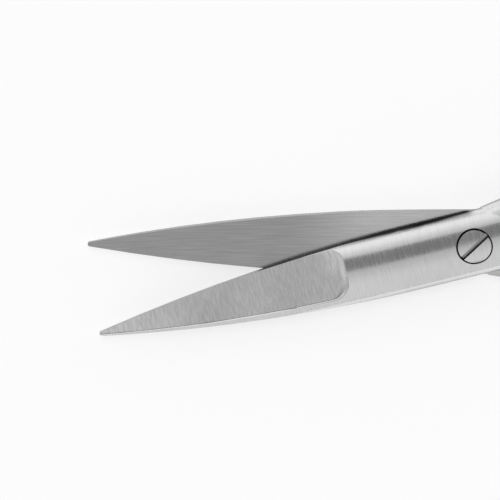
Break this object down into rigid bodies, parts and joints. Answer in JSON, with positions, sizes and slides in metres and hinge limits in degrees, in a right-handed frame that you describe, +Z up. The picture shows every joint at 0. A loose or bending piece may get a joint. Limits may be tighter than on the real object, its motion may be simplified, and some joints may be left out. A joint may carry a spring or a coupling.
{
  "type": "micro scissors",
  "caption": "Fine straight surgical scissors with sharp pointed blades, a slotted pivot screw and finger rings.",
  "frame": {"origin": "on the axis of the pivot screw, in the plane that the scissors lie on", "axes": "+X along the closed scissors from the points to the finger rings, +Z up through the screw head, +Y to the side of the upper half's ring"},
  "size_m": [0.1127, 0.0624, 0.0043],
  "materials": {
    "ground_steel": "satin ground stainless steel",
    "screw_steel": "satin ground stainless steel"
  },
  "bodies": {
    "lower_half_body": {"lower_half": "ground_steel", "pivot_screw": "screw_steel"},
    "upper_half_body": {"upper_half": "ground_steel"}
  },
  "joints": [
    {"name": "blade_pivot", "type": "hinge", "parent": "lower_half_body", "child": "upper_half_body", "pos_m": [0, 0, 0.00213], "axis": [0, 0, 1], "range_deg": [-13.73, 50]}
  ]
}
